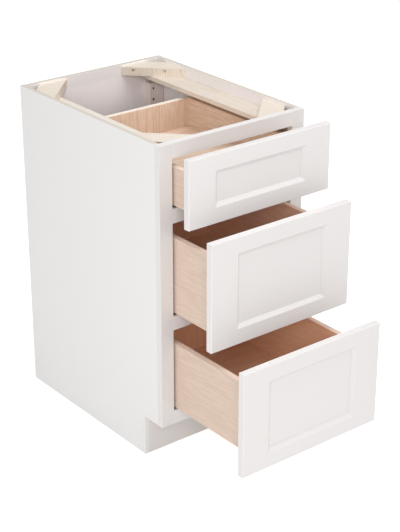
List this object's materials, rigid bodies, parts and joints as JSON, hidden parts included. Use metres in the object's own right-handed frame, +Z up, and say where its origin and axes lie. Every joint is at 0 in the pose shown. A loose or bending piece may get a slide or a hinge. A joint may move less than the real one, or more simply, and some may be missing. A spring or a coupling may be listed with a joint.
{
  "type": "base cabinet with drawers",
  "caption": "Face-frame kitchen base cabinet with an open top, corner blocks, a toe kick and drawers with framed recessed-panel fronts on full-extension under-drawer slides.",
  "frame": {"origin": "on the floor, at the middle of the cabinet's back face", "axes": "+X to the right of a person facing the drawers, +Y to the back and into the wall, +Z up"},
  "size_m": [0.4572, 0.9207, 0.8763],
  "materials": {
    "white_paint": "smooth white cabinet paint over wood",
    "pale_plywood": "clear-coated pale plywood",
    "grey_board": "matt mauve-grey lining",
    "drawer_wood": "clear-coated pale wood",
    "slide_steel": "zinc-plated sheet",
    "screw_steel": "zinc-plated",
    "grey_plastic": "moulded",
    "clear_bumper": "soft translucent"
  },
  "bodies": {
    "cabinet": {"left_side_panel": "white_paint", "right_side_panel": "white_paint", "back_panel": "grey_board", "floor_panel": "grey_board", "toe_kick_board": "white_paint", "left_stile": "white_paint", "right_stile": "white_paint", "top_rail": "white_paint", "upper_mid_rail": "white_paint", "lower_mid_rail": "white_paint", "bottom_rail": "white_paint", "left_top_ledge": "pale_plywood", "right_top_ledge": "pale_plywood", "front_left_corner_block": "pale_plywood", "front_right_corner_block": "pale_plywood", "back_left_corner_block": "pale_plywood", "back_right_corner_block": "pale_plywood", "left_slide_batten": "grey_board", "right_slide_batten": "grey_board", "rear_slide_brackets": "slide_steel", "top_drawer_cabinet_rails": "slide_steel", "middle_drawer_cabinet_rails": "slide_steel", "bottom_drawer_cabinet_rails": "slide_steel"},
    "top_drawer": {"top_drawer_left_side": "drawer_wood", "top_drawer_right_side": "drawer_wood", "top_drawer_box_front": "drawer_wood", "top_drawer_box_back": "drawer_wood", "top_drawer_bottom": "drawer_wood", "top_drawer_slide_rails": "slide_steel", "top_drawer_locking_clips": "grey_plastic", "top_drawer_front_stiles": "white_paint", "top_drawer_front_rails": "white_paint", "top_drawer_front_panel": "white_paint", "top_drawer_bumpers": "clear_bumper"},
    "top_drawer_centre_rail_pair": {"top_drawer_centre_rails": "slide_steel"},
    "middle_drawer": {"middle_drawer_left_side": "drawer_wood", "middle_drawer_right_side": "drawer_wood", "middle_drawer_box_front": "drawer_wood", "middle_drawer_box_back": "drawer_wood", "middle_drawer_bottom": "drawer_wood", "middle_drawer_slide_rails": "slide_steel", "middle_drawer_locking_clips": "grey_plastic", "middle_drawer_front_stiles": "white_paint", "middle_drawer_front_rails": "white_paint", "middle_drawer_front_panel": "white_paint", "middle_drawer_bumpers": "clear_bumper"},
    "middle_drawer_centre_rail_pair": {"middle_drawer_centre_rails": "slide_steel"},
    "bottom_drawer": {"bottom_drawer_left_side": "drawer_wood", "bottom_drawer_right_side": "drawer_wood", "bottom_drawer_box_front": "drawer_wood", "bottom_drawer_box_back": "drawer_wood", "bottom_drawer_bottom": "drawer_wood", "bottom_drawer_slide_rails": "slide_steel", "bottom_drawer_locking_clips": "grey_plastic", "bottom_drawer_front_stiles": "white_paint", "bottom_drawer_front_rails": "white_paint", "bottom_drawer_front_panel": "white_paint", "bottom_drawer_bumpers": "clear_bumper"},
    "bottom_drawer_centre_rail_pair": {"bottom_drawer_centre_rails": "slide_steel"}
  },
  "joints": [
    {"name": "top_drawer_slide", "type": "slide", "parent": "cabinet", "child": "top_drawer", "axis": [0, -1, 0], "range_m": [-0.084, 0.396]},
    {"name": "middle_drawer_slide", "type": "slide", "parent": "cabinet", "child": "middle_drawer", "axis": [0, -1, 0], "range_m": [-0.169, 0.311]},
    {"name": "bottom_drawer_slide", "type": "slide", "parent": "cabinet", "child": "bottom_drawer", "axis": [0, -1, 0], "range_m": [-0.29, 0.19]},
    {"name": "top_drawer_centre_rail_slide", "type": "slide", "parent": "cabinet", "child": "top_drawer_centre_rail_pair", "axis": [0, -1, 0], "range_m": [-0.042, 0.198]},
    {"name": "middle_drawer_centre_rail_slide", "type": "slide", "parent": "cabinet", "child": "middle_drawer_centre_rail_pair", "axis": [0, -1, 0], "range_m": [-0.0845, 0.1555]},
    {"name": "bottom_drawer_centre_rail_slide", "type": "slide", "parent": "cabinet", "child": "bottom_drawer_centre_rail_pair", "axis": [0, -1, 0], "range_m": [-0.145, 0.095]}
  ],
  "couplings": [
    {"joint": "top_drawer_centre_rail_slide", "follows": "top_drawer_slide", "ratio": 0.5},
    {"joint": "middle_drawer_centre_rail_slide", "follows": "middle_drawer_slide", "ratio": 0.5},
    {"joint": "bottom_drawer_centre_rail_slide", "follows": "bottom_drawer_slide", "ratio": 0.5}
  ]
}
